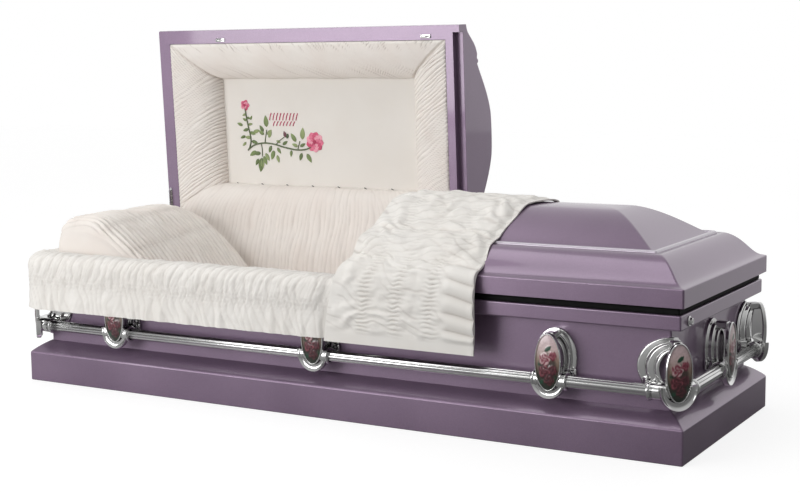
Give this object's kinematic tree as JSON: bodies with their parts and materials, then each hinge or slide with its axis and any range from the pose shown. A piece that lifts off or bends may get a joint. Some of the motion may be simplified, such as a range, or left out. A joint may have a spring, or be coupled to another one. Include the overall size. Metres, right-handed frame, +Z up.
{
  "type": "funeral casket",
  "caption": "Rectangular metal funeral casket on a flared base, with a hipped lid hinged in head and foot parts, padded lining, carrying bars and a cloth laid over the foot lid.",
  "frame": {"origin": "middle of the underside, on the floor", "axes": "+X along the length to the foot end, -Y to the viewing side, +Z up"},
  "size_m": [2.1756, 0.9238, 1.0958],
  "materials": {
    "orchid_paint": "metallic orchid lacquer, glossy, on pressed steel",
    "chrome": "polished plated castings and fluted bar",
    "seal_rubber": "black moulded seal",
    "pink_crepe": "shirred crepe, pale pinkish ivory",
    "white_crepe": "shirred crepe, off-white",
    "medallion_enamel": "coloured rose relief, semi-gloss"
  },
  "bodies": {
    "body": {"base_moulding": "orchid_paint", "bottom_pan": "orchid_paint", "body_shell": "orchid_paint", "body_rail": "orchid_paint", "gasket": "seal_rubber", "bed": "pink_crepe", "pillow": "pink_crepe", "lining_front": "pink_crepe", "lining_back": "pink_crepe", "lining_head": "pink_crepe", "lining_foot": "pink_crepe", "extendover": "white_crepe", "hinge_body_head": "chrome", "hinge_body_foot": "chrome", "end_lock": "chrome", "bar_front": "chrome", "bar_back": "chrome", "bar_head": "chrome", "bar_foot": "chrome", "arm_front_1": "chrome", "medallion_front_1": "medallion_enamel", "arm_front_2": "chrome", "medallion_front_2": "medallion_enamel", "arm_front_3": "chrome", "medallion_front_3": "medallion_enamel", "arm_foot_end": "chrome", "medallion_foot_end": "medallion_enamel", "arm_back_1": "chrome", "medallion_back_1": "medallion_enamel", "arm_back_2": "chrome", "medallion_back_2": "medallion_enamel", "arm_back_3": "chrome", "medallion_back_3": "medallion_enamel", "arm_head_end": "chrome", "medallion_head_end": "medallion_enamel", "arm_corner_foot_front": "chrome", "medallion_corner_foot_front": "medallion_enamel", "arm_corner_foot_back": "chrome", "medallion_corner_foot_back": "medallion_enamel", "arm_corner_head_back": "chrome", "medallion_corner_head_back": "medallion_enamel", "arm_corner_head_front": "chrome", "medallion_corner_head_front": "medallion_enamel"},
    "head_lid": {"head_lid_shell": "orchid_paint", "lid_panel": "pink_crepe", "lid_roll_front": "pink_crepe", "lid_roll_head": "pink_crepe", "lid_roll_split": "pink_crepe", "lid_roll_hinge": "pink_crepe", "latch_keeper_1": "chrome", "latch_keeper_2": "chrome", "lid_stay": "chrome", "hinge_head_lid": "chrome"},
    "foot_lid": {"foot_lid_shell": "orchid_paint", "foot_lid_lining": "pink_crepe", "throw_cloth": "white_crepe", "hinge_foot_lid": "chrome"}
  },
  "joints": [
    {"name": "head_lid_hinge", "type": "hinge", "parent": "body", "child": "head_lid", "pos_m": [0, 0.3555, 0.3873], "axis": [-1, 0, 0], "range_deg": [-87, 0], "deforming": ["pillow", "extendover", "throw_cloth"]},
    {"name": "foot_lid_hinge", "type": "hinge", "parent": "body", "child": "foot_lid", "pos_m": [0, 0.3555, 0.3873], "axis": [-1, 0, 0], "range_deg": [0, 87], "deforming": ["throw_cloth", "extendover"]}
  ]
}
